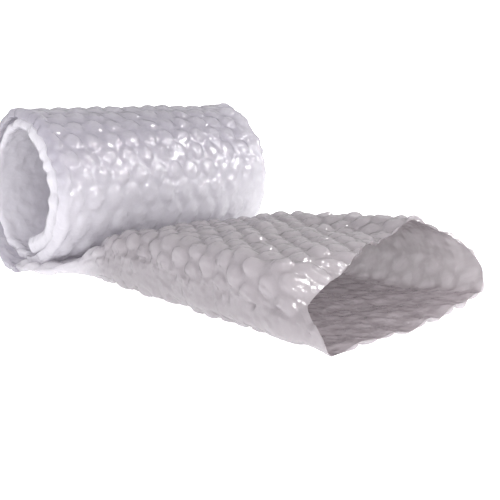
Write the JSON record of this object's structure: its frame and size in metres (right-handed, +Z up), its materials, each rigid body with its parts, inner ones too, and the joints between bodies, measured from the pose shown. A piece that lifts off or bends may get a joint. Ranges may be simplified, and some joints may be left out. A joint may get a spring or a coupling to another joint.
{
  "type": "bubble wrap roll",
  "caption": "Coreless roll of clear tubular bubble film lying on its side, its free end drawn out along the ground as an open-mouthed sleeve.",
  "frame": {"origin": "on the ground, at the centre of the box that holds the whole piece", "axes": "+Z up; the roll's axis runs along X; the sleeve runs out from the roll towards -Y"},
  "size_m": [0.4, 0.7576, 0.2569],
  "materials": {
    "bubble_film": "clear polyethylene bubble film, milky where its layers lie together"
  },
  "bodies": {
    "root": {"bubble_wrap": "bubble_film"}
  },
  "joints": []
}
